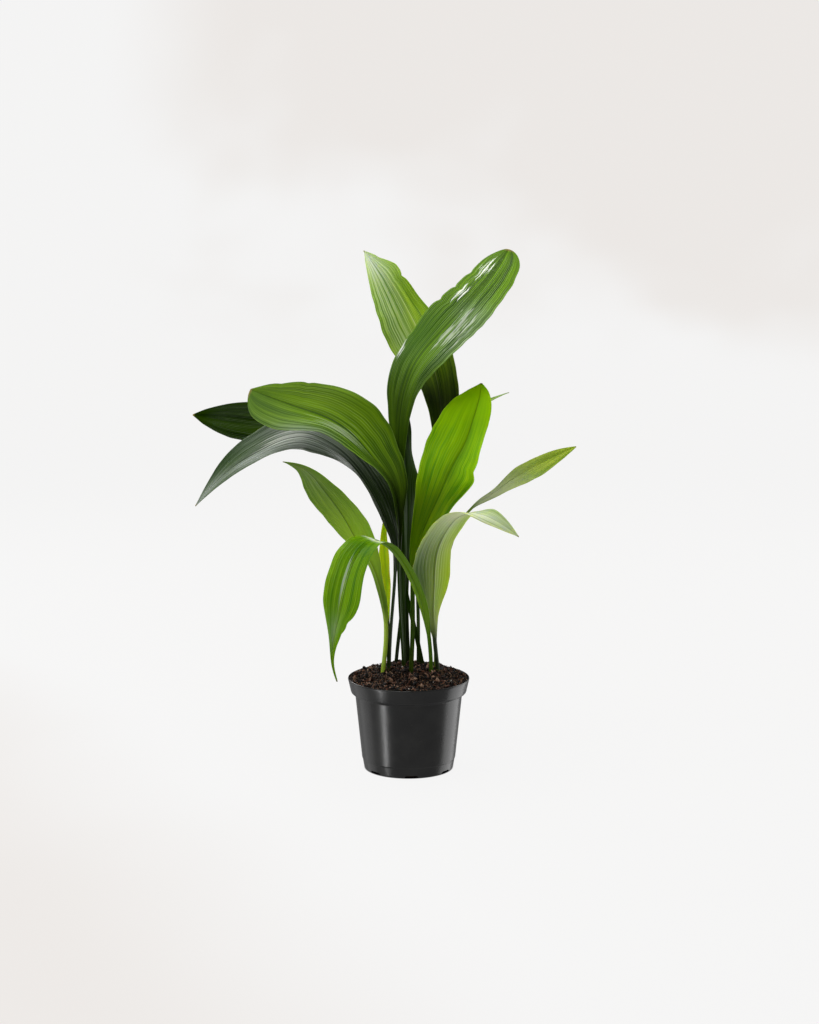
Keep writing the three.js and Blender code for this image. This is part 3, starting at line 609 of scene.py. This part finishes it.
def leaf_material(name, face):
    """Leaf skin: colour streaks, fine veins and sheen that run with the blade from foot to tip."""
    look, leaf = LOOKS[name], LEAVES[name]
    dark, pale = (srgb(*tone) for tone in look[face])
    stalk_tone, foot_tone = srgb(*look["stalk"]), srgb(*look["foot"])
    vein_share = look.get("veins", 0.3)
    seed = list(LOOKS).index(name) * 3.7 + (0 if face == "top" else 50)
    shader = Shader(f"{name}_{face}")
    plus, minus, times, scaled = shader.plus, shader.minus, shader.times, shader.scaled
    ramp, blend = shader.ramp, shader.mix
    across, along, breadth = (shader.add("Attribute", {}, "Fac", attribute_name=key)
                              for key in ("across", "along", "breadth"))
    away = shader.math("ABSOLUTE", across)

    # Detail is coarser on small leaves, and it fades where a blade gets narrow
    fine = min(1, sum(max(widths) for widths in leaf["widths"]) / 2 / TYPICAL_HALF)
    spaced = ramp(breadth, 0.35 * fine, 0.85 * fine)
    detailed = times(breadth, spaced)

    def calm(value, amount):
        return scaled(minus(value, 0.5), amount, 0.5)

    def zone(v0, reach_v, u0, reach_u, strength):
        """Soft oval patch of the blade."""
        far_v = shader.math("DIVIDE", minus(along, v0), reach_v)
        far_u = shader.math("DIVIDE", minus(across, u0), reach_u)
        far = plus(times(far_v, far_v), times(far_u, far_u))
        return times(shader.math("EXPONENT", times(far, -1)), strength)

    def grain(times_across, times_along, detail, roughness=0.5):
        where = shader.vector(times(across, times_across), times(along, times_along), seed)
        return shader.noise(where, 1, detail, roughness)

    # Tone: broad patches, streaks along the veins and very fine threads
    patches = grain(1.6, 3, 2)
    streaks = calm(grain(13 * fine, 1.7, 3, 0.6), breadth)
    threads = calm(grain(44 * fine, 2.2, 1.5), detailed)
    tone = scaled(threads, 0.5, scaled(patches, 0.6, streaks))
    colour = blend(ramp(tone, 0.8, 1.32), dark, pale)

    # Parallel veins: thin paler lines with darker furrows between them
    wander = times(minus(patches, 0.5), 1.5)
    veins = shader.math("SINE", scaled(away, TURN * round(15 * fine), wander))
    uneven = times(ramp(grain(7 * fine, 4, 1), 0.3, 0.62, 0.25, 1), spaced)
    lines = times(ramp(veins, 0.7, 1), uneven)
    vein_colour = tuple(mix(p, 1, 0.13) * 1.2 for p in pale)
    colour = blend(times(lines, vein_share), colour, vein_colour)
    furrows = times(times(ramp(veins, -0.3, -1), uneven), 0.3 * vein_share)
    colour = blend(furrows, colour, tuple(0.45 * d for d in dark))

    # Painted sheen broken into streaks along the veins, crisp painted white glints, and tinted patches of
    # painted light and shade
    broken = ramp(scaled(threads, 0.5, streaks), 0.62, 0.92, 0.12, 1)
    glints = grain(*look["glints"], 3, 0.55) if "glints" in look else None
    for *spot, strength, tint in look.get(face + "_painted_light", ()):
        if tint == WHITE:
            painted_light_mask = ramp(plus(zone(*spot, 0.38), glints), 0.81, 0.91, 0, strength)
        else:
            painted_light_mask = zone(*spot, strength)
        if tint in (PAINTED_SHEEN, SILVER, PALE):
            painted_light_mask = times(painted_light_mask, broken)
        colour = blend(painted_light_mask, colour, srgb(*tint))

    # The midrib shows, and painted shade darkens the blade towards its foot, where the leaves above shadow
    # it
    rib_colour = tuple(0.5 * d for d in dark)
    if look["slot"] == "leaf_dark" and face == "under":
        rib_colour = vein_colour
    if "rib" in look:
        rib_colour = srgb(*look["rib"])
    rib = ramp(away, 0.034, 0.008)
    colour = blend(times(rib, 0.65), colour, rib_colour)
    if "shade" in look:
        low, high, depth = look["shade"]
        level = ramp(scaled(patches, 0.12, along), low + 0.06, high + 0.06, depth, 1)
        colour = blend(1, colour, shader.vector(level, level, level), "MULTIPLY")

    # Pale margin, dry tip and stalk
    margin = ramp(away, 0.965, 0.995)
    colour = blend(times(margin, 0.5), colour, tuple(mix(p, 1, 0.06) for p in pale))
    dry = plus(along, times(minus(streaks, 0.5), 0.02))
    colour = blend(ramp(dry, 0.988, 0.999), colour, srgb(*DRY))
    stalk = blend(ramp(along, -0.55, -1), stalk_tone, foot_tone)
    stalk = blend(ramp(threads, 0.35, 0.75), stalk, tuple(2.6 * c for c in stalk_tone))
    colour = blend(ramp(along, -0.03, 0.09), stalk, colour)

    # Gloss breaks up along the veins
    least = look["gloss"] - (0.1 if face == "top" else 0.02)
    rough = scaled(lines, 0.06, scaled(streaks, 0.22, least))
    height = scaled(streaks, 0.9, scaled(threads, 0.7, times(veins, 0.15)))
    return shader.dress(
        Base_Color=colour, Roughness=rough, IOR=1.46, Specular_IOR_Level=look["shine"],
        Subsurface_Weight=look["glow"], Subsurface_Radius=(0.9, 1, 0.15), Subsurface_Scale=0.0012,
        Normal=shader.bump(times(height, detailed), 0.00022, 0.55))


def pot_material():
    """Black moulded plastic: cloudy gloss, fine dust, an uneven skin and upright flow lines."""
    shader = Shader("pot_plastic_fine")
    spot = shader.position()
    x, y, z = shader.split(spot)
    cloud = shader.noise(spot, 34, 3)
    peel = shader.noise(spot, 1900, 2)
    dust = shader.noise(spot, 240, 5, 0.7)
    stretched = shader.vector(shader.times(x, 420), shader.times(y, 420), shader.times(z, 26))
    flow = shader.noise(stretched, 1, 3, 0.6)
    colour = shader.mix(shader.ramp(cloud, 0.3, 0.75), srgb(35, 35, 35), srgb(46, 46, 45))
    colour = shader.mix(shader.ramp(dust, 0.62, 0.85, 0, 0.35), colour, srgb(104, 98, 90))

    # Painted shade: the pot's floor that shows through the drain slots is dark and dull, as if shadowed by
    # the floor it stands on
    shade_near_axis = shader.ramp(shader.from_axis(x, y), 0.0549, 0.0542)
    inside = shader.times(shade_near_axis, shader.ramp(z, 0.0042, 0.0037))
    rough = shader.scaled(inside, 0.7, shader.scaled(flow, 0.1, 0.15))
    return shader.dress(
        Base_Color=shader.mix(inside, colour, (0.001, 0.001, 0.001)),
        Roughness=shader.scaled(cloud, 0.08, rough), IOR=1.5,
        Specular_IOR_Level=shader.scaled(inside, -0.45, 0.5),
        Normal=shader.bump(shader.scaled(flow, 0.35, peel), 0.00006, 0.6))


def soil_material():
    shader = Shader("potting_soil_fine")
    spot = shader.position()
    grains = shader.noise(spot, 620, 5, 0.65)
    clumps = shader.noise(spot, 130, 3)
    colour = shader.mix(shader.ramp(grains, 0.35, 0.7), srgb(12, 8, 5), srgb(52, 34, 24))
    return shader.dress(
        Base_Color=shader.mix(shader.ramp(clumps, 0.5, 0.75, 0, 0.6), colour, srgb(30, 20, 15)),
        Roughness=shader.ramp(grains, 0.3, 0.7, 0.95, 0.7), Specular_IOR_Level=0.15,
        Normal=shader.bump(grains, 0.0012, 0.9))


def bark_material():
    """Bark from near black to pale, by the tone that each chip carries."""
    shader = Shader("bark_chips")
    grain = shader.noise(shader.position(), 900, 4, 0.65)
    tone = shader.add("Attribute", {}, "Fac", attribute_name="tone")
    ramped = shader.add("ValToRGB", {0: tone})
    stops = [(0, (8, 5, 3)), (0.35, (26, 16, 10)), (0.6, (58, 34, 22)), (0.8, (140, 88, 64)),
             (1, (220, 178, 148))]
    elements = ramped.node.color_ramp.elements
    elements[0].color = (*srgb(*stops[0][1]), 1)
    elements[1].color = (*srgb(*stops[-1][1]), 1)
    for place, colour in stops[1:-1]:
        elements.new(place).color = (*srgb(*colour), 1)
    return shader.dress(
        Base_Color=shader.mix(shader.ramp(grain, 0.35, 0.7, 0.55, 0), ramped, srgb(18, 11, 8)),
        Roughness=shader.ramp(grain, 0.3, 0.7, 0.75, 0.42), Specular_IOR_Level=0.25,
        Normal=shader.bump(grain, 0.0005, 0.8))


def plain_grain_material(name, dark, pale, scale, roughness):
    shader = Shader(name)
    grain = shader.noise(shader.position(), scale, 4, 0.6)
    return shader.dress(
        Base_Color=shader.mix(shader.ramp(grain, 0.3, 0.7), dark, pale),
        Roughness=shader.ramp(grain, 0.3, 0.7, roughness, roughness - 0.2),
        Normal=shader.bump(grain, 0.0003, 0.7))


# Pot

def rounded(outline, radius):
    """The outline with each inner corner turned into a small curve."""
    points = [np.array(p, float) for p in outline]
    result = [points[0]]
    for before, corner, after in zip(points, points[1:], points[2:]):
        start, end = (corner + unit(other - corner) * min(radius, 0.45 * norm(other - corner))
                      for other in (before, after))
        for t in np.linspace(0, 1, CORNER_STEPS):
            result.append((1 - t) ** 2 * start + 2 * t * (1 - t) * corner + t * t * end)
    result.append(points[-1])
    return result


def pot_outlines():
    """The pot's outer and inner wall as (radius, height), each from the bottom up."""
    collar_foot = POT_HEIGHT - COLLAR_HEIGHT
    taper = (BODY_TOP_RADIUS - BODY_FOOT_RADIUS) / (collar_foot - 2 * EDGE_ROUND - FOOT_HEIGHT)
    crease_radius = BODY_FOOT_RADIUS + taper * (CREASE_HEIGHT - FOOT_HEIGHT)
    outside = [
        (BASE_RADIUS, 0), (BASE_RADIUS + EDGE_ROUND, EDGE_ROUND),
        (crease_radius - CREASE_DEPTH, CREASE_HEIGHT - CREASE_DEPTH), (crease_radius, CREASE_HEIGHT),
        (BODY_TOP_RADIUS, collar_foot - 2 * EDGE_ROUND),
        (BODY_TOP_RADIUS + EDGE_ROUND, collar_foot - EDGE_ROUND / 2),
        (COLLAR_FOOT_RADIUS - EDGE_ROUND, collar_foot), (COLLAR_FOOT_RADIUS, collar_foot + EDGE_ROUND),
        (RIM_RADIUS, POT_HEIGHT - EDGE_ROUND), (RIM_RADIUS - EDGE_ROUND / 3, POT_HEIGHT),
    ]
    inside = [
        (BASE_RADIUS - WALL / 2, FLOOR), (BODY_FOOT_RADIUS - WALL, FOOT_HEIGHT),
        (BODY_TOP_RADIUS - WALL, collar_foot - EDGE_ROUND),
        (COLLAR_FOOT_RADIUS - 2 * WALL, collar_foot + WALL),
        (COLLAR_FOOT_RADIUS - WALL, collar_foot + 2 * WALL),
        (RIM_RADIUS - WALL, POT_HEIGHT - EDGE_ROUND), (RIM_RADIUS - WALL, POT_HEIGHT),
    ]
    return outside, inside


def ring_layers(outline, sides):
    """A ring of points round the pot's axis for each (radius, height) of the outline."""
    angles = np.arange(sides) / sides * TURN
    ring = np.stack([np.cos(angles), np.sin(angles)], axis=1)
    return [np.concatenate([ring * r, np.full((sides, 1), z)], axis=1) for r, z in outline]


def revolve(name, outline, sides, materials):
    """Closed body turned round the pot's axis. The outline starts and ends on the axis."""
    inner = outline[1:-1]
    ends = [[[0, 0, outline[0][1]]], [[0, 0, outline[-1][1]]]]
    vertices = np.concatenate(ring_layers(inner, sides) + ends)
    faces = grid_faces(len(inner), sides)
    low, high = len(vertices) - 2, len(vertices) - 1
    top = (len(inner) - 1) * sides
    for i in range(sides):
        after = (i + 1) % sides
        faces.append([low, after, i])
        faces.append([high, top + i, top + after])
    return mesh_object(name, vertices, faces, materials)


def sharpen(piece, degrees):
    """Hard shading across edges steeper than this angle."""
    form = bmesh.new()
    form.from_mesh(piece.data)
    limit = math.radians(degrees)
    for edge in form.edges:
        edge.smooth = not (len(edge.link_faces) == 2 and edge.calc_face_angle(0) > limit)
    for face in form.faces:
        face.smooth = True
    form.to_mesh(piece.data)
    form.free()


def slot_cutter(angle):
    """Block with round corners that cuts one drain slot."""
    form = bmesh.new()
    bmesh.ops.create_cube(form, size=1.0)
    for vertex in form.verts:
        vertex.co.x *= SLOT_WIDTH * MM
        vertex.co.y = vertex.co.y * SLOT_DEPTH * MM - (BODY_FOOT_RADIUS + SLOT_PAST_BODY) * MM
        vertex.co.z *= 2 * SLOT_HEIGHT * MM
    upright = [e for e in form.edges if abs(e.verts[0].co.x - e.verts[1].co.x) < 1e-6
               and abs(e.verts[0].co.z - e.verts[1].co.z) < 1e-6]
    bmesh.ops.bevel(form, geom=upright, offset=SLOT_ROUND * MM, segments=4, affect="EDGES")
    bmesh.ops.rotate(form, verts=form.verts, matrix=Matrix.Rotation(angle, 3, "Z"))
    mesh = bpy.data.meshes.new("slot")
    form.to_mesh(mesh)
    form.free()
    return new_object("slot", mesh)


def pot_piece():
    """The pot turned round its axis, with its drain slots cut."""
    outside, inside = pot_outlines()
    recess = [(0, RECESS), (BASE_RADIUS - FOOT_RING - 1, RECESS), (BASE_RADIUS - FOOT_RING, 0)]
    outline = rounded([*recess, *outside, *reversed(inside), (0, FLOOR)], CORNER_ROUND)
    piece = revolve("pot_fine", outline, POT_SIDES, [pot_material()])
    cutters = []
    for k in range(SLOTS):
        cutter = slot_cutter(math.radians(FIRST_SLOT_DEG + 360 / SLOTS * k))
        cutters.append(cutter)
        cut = piece.modifiers.new("slot", "BOOLEAN")
        cut.operation = "DIFFERENCE"
        cut.solver = "EXACT"
        cut.object = cutter
    cut_piece = piece.evaluated_get(bpy.context.evaluated_depsgraph_get())
    cut_mesh = bpy.data.meshes.new_from_object(cut_piece)
    piece.modifiers.clear()
    piece.data = cut_mesh
    for cutter in cutters:
        bpy.data.meshes.remove(cutter.data)
    sharpen(piece, SHARP_EDGE_DEG)
    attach(piece, BODY)
    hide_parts("pot")


# Soil

def soil_height(x, y):
    """Height of the soil: the solid's low mound and lumps."""
    away = np.hypot(x - MOUND_CENTRE[0], y - MOUND_CENTRE[1]) / MOUND_RADIUS
    mound = MOUND_RISE * (1 - smooth(away, 0.25, 1))
    broad = np.sin(0.23 * x + 1.1) * np.cos(0.19 * y - 0.4)
    fine = 0.7 * np.sin(0.41 * x - 0.37 * y)
    calm = 1 - 0.7 * smooth(np.hypot(x, y) / SOIL_RADIUS, 0.8, 1)
    return SOIL_AT_WALL + mound + LUMP * (broad + fine) * calm


def crumbs(x, y):
    """Fine unevenness of the soil's skin in mm."""
    first = np.sin(1.31 * x + 0.7 * np.sin(0.9 * y)) * np.sin(1.17 * y + 0.8 * np.sin(1.05 * x))
    second = np.sin(2.3 * x - 1.9 * y) * np.sin(2.7 * y + 1.3 * x)
    return 0.55 * first + 0.35 * second


def soil_piece():
    """The soil down to the pot's floor, with a finer skin than the solid's."""
    _, inside = pot_outlines()
    layers = ring_layers([(r - SOIL_SUNK, z + SOIL_SUNK) for r, z in inside[:5]], SOIL_SIDES)
    radii = np.linspace(SOIL_RADIUS, 0.6, SOIL_RINGS)
    for radius, flat in zip(radii, ring_layers([(r, 0) for r in radii], SOIL_SIDES)):
        x, y = flat[:, 0], flat[:, 1]
        calm = 1 - smooth(radius / SOIL_RADIUS, 0.94, 1)
        layers.append(np.stack([x, y, soil_height(x, y) - SOIL_SUNK + crumbs(x, y) * calm], axis=1))
    vertices = np.concatenate(layers)
    faces = grid_faces(len(layers), SOIL_SIDES)
    faces.append(list(range(SOIL_SIDES))[::-1])
    faces.append(list(range(len(vertices) - SOIL_SIDES, len(vertices))))
    piece = mesh_object("soil_fine", vertices, faces, [soil_material()])
    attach(piece, BODY)
    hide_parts("soil")


def ball(subdivisions):
    """Points and triangles of a round lump."""
    form = bmesh.new()
    bmesh.ops.create_icosphere(form, subdivisions=subdivisions, radius=1.0)
    vertices = np.array([v.co[:] for v in form.verts])
    faces = np.array([[v.index for v in f.verts] for f in form.faces])
    form.free()
    return vertices, faces


def turned(rng, count):
    """Random rotation matrices."""
    q = unit(rng.normal(size=(count, 4)))
    w, x, y, z = q.T
    rows = [[1 - 2 * (y * y + z * z), 2 * (x * y - z * w), 2 * (x * z + y * w)],
            [2 * (x * y + z * w), 1 - 2 * (x * x + z * z), 2 * (y * z - x * w)],
            [2 * (x * z - y * w), 2 * (y * z + x * w), 1 - 2 * (x * x + y * y)]]
    return np.array(rows).transpose(2, 0, 1)


def scattered(name, places, sizes, shape, rng, material, tones=None, roundness=2):
    """Many small irregular lumps in one mesh, each partly sunk in the soil."""
    base, base_faces = ball(roundness)
    count = len(places)
    stretch = rng.uniform(*shape, size=(count, 3))
    stretch[:, 0] = 1
    lumps = base[None] * (1 + rng.normal(0, 0.16, size=(count, len(base), 1)))
    lumps = lumps * (stretch * sizes[:, None])[:, None, :]
    lumps = np.einsum("nij,nkj->nki", turned(rng, count), lumps) + places[:, None, :]
    faces = base_faces[None] + (np.arange(count) * len(base))[:, None, None]
    piece = mesh_object(name, lumps.reshape(-1, 3), faces.reshape(-1, 3).tolist(), [material], flat=True)
    if tones is not None:
        set_attribute(piece, "tone", np.repeat(tones, len(base)))
    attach(piece, BODY)


def bark_pieces():
    """Bark chips that keep clear of the stalks, crumbs between them and pale specks."""
    rng = np.random.default_rng(7)
    stalks = np.array([leaf["spine"][1][:2] for leaf in LEAVES.values()], float)
    places, sizes = [], []
    while len(places) < CHIPS:
        size = CHIP_LEAST + CHIP_SPREAD * rng.random() ** CHIP_BIAS
        radius = (SOIL_RADIUS - size - CHIP_LEAST) * math.sqrt(rng.random())
        angle = rng.uniform(0, TURN)
        x, y = radius * math.cos(angle), radius * math.sin(angle)
        if np.hypot(*(stalks - (x, y)).T).min() < STALK_ROOM + 0.5 * size:
            continue
        z = float(soil_height(x, y)) + rng.uniform(-0.2, 0.7) * size
        places.append((x, y, z))
        sizes.append(size)
    places, sizes = np.array(places), np.array(sizes)
    tones = np.clip(rng.normal(0.4, 0.34, len(places)), 0, 1)
    bark = bark_material()
    scattered("soil_bark", places, sizes, (0.25, 0.7), rng, bark, tones)

    # Crumbs fill in between the chips, and some of them are pale
    radii = (SOIL_RADIUS - 1) * np.sqrt(rng.random(CRUMBS))
    angles = rng.uniform(0, TURN, CRUMBS)
    x, y = radii * np.cos(angles), radii * np.sin(angles)
    sizes = rng.uniform(0.35, 0.95, CRUMBS)
    crumbs_at = np.stack([x, y, soil_height(x, y) + rng.uniform(0.2, 1.8, CRUMBS)], axis=1)
    pale = rng.random(CRUMBS) < PALE_CRUMBS
    tones = np.where(pale, rng.uniform(0.72, 1, CRUMBS), rng.uniform(0, 0.3, CRUMBS))
    scattered("soil_crumbs", crumbs_at, sizes, (0.4, 0.9), rng, bark, tones, roundness=1)

    # Pale specks lie where the light catches them
    spots = [(-8, 12), (-18, -18), (42, 12), (0, -64), (-40, 20), (30, -36), (-6, 52), (52, -20),
             (-30, -44)]
    white = np.array([(x, y, float(soil_height(x, y)) + 0.8) for x, y in spots])
    material = plain_grain_material("perlite", srgb(196, 190, 180), srgb(236, 232, 224), 900, 0.9)
    scattered("soil_perlite", white, rng.uniform(0.7, 1.3, len(white)), (0.7, 1), rng, material)


def fibre_piece():
    """Loose coir fibres: thin bent strands that lie over the bark."""
    rng = np.random.default_rng(21)
    vertices, faces = [], []
    for _ in range(FIBRES):
        radius = FIBRE_REACH * math.sqrt(rng.random())
        angle = rng.uniform(0, TURN)
        spot = np.array([radius * math.cos(angle), radius * math.sin(angle)])
        heading, bend = rng.uniform(0, TURN), rng.normal(0, 0.25)
        length, thick = rng.uniform(5, 20), rng.uniform(0.12, 0.3)
        path = []
        for k in range(FIBRE_STEPS):
            lift = 0.9 + 1.3 * math.sin(math.pi * k / (FIBRE_STEPS - 1)) * rng.uniform(0.6, 1)
            reach = norm(spot)
            if reach > FIBRE_LIMIT:
                spot = spot * FIBRE_LIMIT / reach
            path.append((*spot, float(soil_height(*spot)) + lift))
            heading += bend + rng.normal(0, 0.12)
            spot = spot + np.array([math.cos(heading), math.sin(heading)]) * length / FIBRE_STEPS
        path = np.array(path)
        forward = unit(np.gradient(path, axis=0))
        side = unit(np.cross(forward, (0, 0, 1)))
        up = np.cross(side, forward)
        taper = 1 - 0.6 * np.abs(np.linspace(-1, 1, FIBRE_STEPS)) ** 3
        start = len(vertices)
        for k in range(FIBRE_STEPS):
            for s in range(FIBRE_SIDES):
                turn = TURN * s / FIBRE_SIDES
                round_it = side[k] * math.cos(turn) + up[k] * math.sin(turn)
                vertices.append(path[k] + round_it * thick * taper[k])
        faces += [[start + i for i in quad] for quad in grid_faces(FIBRE_STEPS, FIBRE_SIDES)]
        faces.append(list(range(start, start + FIBRE_SIDES))[::-1])
        faces.append(list(range(len(vertices) - FIBRE_SIDES, len(vertices))))
    material = plain_grain_material("coir_fibre", srgb(104, 70, 44), srgb(168, 128, 88), 700, 0.85)
    piece = mesh_object("soil_fibres", np.array(vertices), faces, [material])
    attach(piece, BODY)


# Studio

PAPER = (0.902, 0.899, 0.896)
PAPER_SHADE = (0.832, 0.803, 0.78)
POT_SHADOW_COLOUR = (0.004, 0.004, 0.004)


def stage_piece():
    """Pale floor that sweeps up into a round wall, seen by the camera and lit from within."""
    shader = Shader("studio_paper")
    spot = shader.position()
    x, y, z = shader.split(spot)

    # Two faint soft painted shadows: on the floor near the camera's left, and high up at the back
    clouds = shader.times(shader.minus(shader.noise(spot, 1.7, 2), 0.5), 1.6)
    near = shader.scaled(x, -0.883, shader.times(y, -0.47))
    near = shader.ramp(shader.scaled(clouds, 0.12, near), 0.2, 0.62)
    far = shader.plus(shader.scaled(x, 0.3, z), clouds)
    far = shader.times(shader.ramp(far, 0.2, 1), shader.ramp(x, -1.05, -0.55))
    far = shader.times(far, shader.ramp(z, 0.12, 0.4))
    paper = shader.mix(shader.math("MAXIMUM", near, far), PAPER, PAPER_SHADE)
    # Painted shadow: the paper turns near black under the pot's foot
    pot_shadow_mask = shader.ramp(shader.from_axis(x, y), 0.056, 0.0535)
    shader.dress(
        Base_Color=(0.02, 0.02, 0.02), Roughness=1, Specular_IOR_Level=0,
        Emission_Color=shader.mix(pot_shadow_mask, paper, POT_SHADOW_COLOUR), Emission_Strength=1)
    shader.material.cycles.emission_sampling = "NONE"

    floor_radius, bend, height, sides = 3, 1.6, 6, 96
    outline = [(0.001, 0), (0.4, 0), (1.2, 0), (floor_radius, 0)]
    for t in np.linspace(0, math.pi / 2, 16)[1:]:
        outline.append((floor_radius + bend * math.sin(t), bend * (1 - math.cos(t))))
    outline.append((floor_radius + bend, height))
    vertices = np.concatenate(ring_layers(outline, sides)) / MM
    faces = [face[::-1] for face in grid_faces(len(outline), sides)]
    faces.append(list(range(sides)))
    piece = mesh_object("studio_sweep", vertices, faces, [shader.material])
    piece.visible_diffuse = False
    piece.visible_glossy = False
    piece.visible_transmission = False
    piece.visible_shadow = False


def aim(item, target):
    direction = Vector(target) - item.location
    item.rotation_euler = direction.to_track_quat("-Z", "Y").to_euler()


def panel(name, place, target, width, height, power):
    lamp = bpy.data.lights.new(name, "AREA")
    lamp.shape = "RECTANGLE"
    lamp.size, lamp.size_y = width, height
    lamp.energy = power
    item = new_object(name, lamp)
    item.location = place
    item.visible_camera = False
    aim(item, target)


def world_light():
    """Dim light from all round, a little brighter from the pale floor below."""
    world = bpy.data.worlds.new("room")
    bpy.context.scene.world = world
    world.use_nodes = True
    nodes = Nodes(world.node_tree)
    height = nodes.split(nodes.add("TexCoord", {}, "Generated"))[2]
    background = world.node_tree.nodes["Background"]
    background.inputs["Color"].default_value = (1, 1, 1, 1)
    nodes.fill(background.inputs["Strength"], nodes.ramp(height, -0.35, 0.25, 0.3, 0.09))


def lights():
    """Soft panels. The upright ones reach below the floor, as the tapered pot mirrors what is under it."""
    panel("top", (-0.55, -0.15, 1.95), (0, 0, 0.4), 1, 1, 30)
    panel("front_high", (-0.6, -1.75, 1.75), (0, 0, 0.35), 1.1, 1.1, 11)
    panel("back_left", (-1.25, 1.5, 1.2), (0, 0, 0.35), 0.8, 0.8, 18)
    panel("back_right", (0.8, 1.7, 1.5), (0, 0, 0.35), 0.8, 0.8, 8)
    panel("left", (-1.72, 0.8, -0.1), (0, 0, -0.1), 1.4, 2.6, 5)
    panel("right", (1.7, 0.84, -0.1), (0, 0, -0.1), 1.7, 2.6, 21)
    panel("strip_left", (-1.7, -1.06, -0.6), (0, 0, -0.6), 0.14, 1.4, 11)


def camera():
    lens = bpy.data.cameras.new("camera")
    lens.lens = CAMERA_LENS
    lens.sensor_width = SENSOR_WIDTH
    lens.clip_start = 0.05
    item = new_object("camera", lens)
    item.location = CAMERA_PLACE
    aim(item, CAMERA_TARGET)
    bpy.context.scene.camera = item


camera()
stage_piece()
world_light()
lights()
bpy.context.scene.view_settings.view_transform = "Standard"
pot_piece()
soil_piece()
bark_pieces()
fibre_piece()
for leaf_name in LEAVES:
    leaf_piece(leaf_name)

bpy.context.view_layer.update()
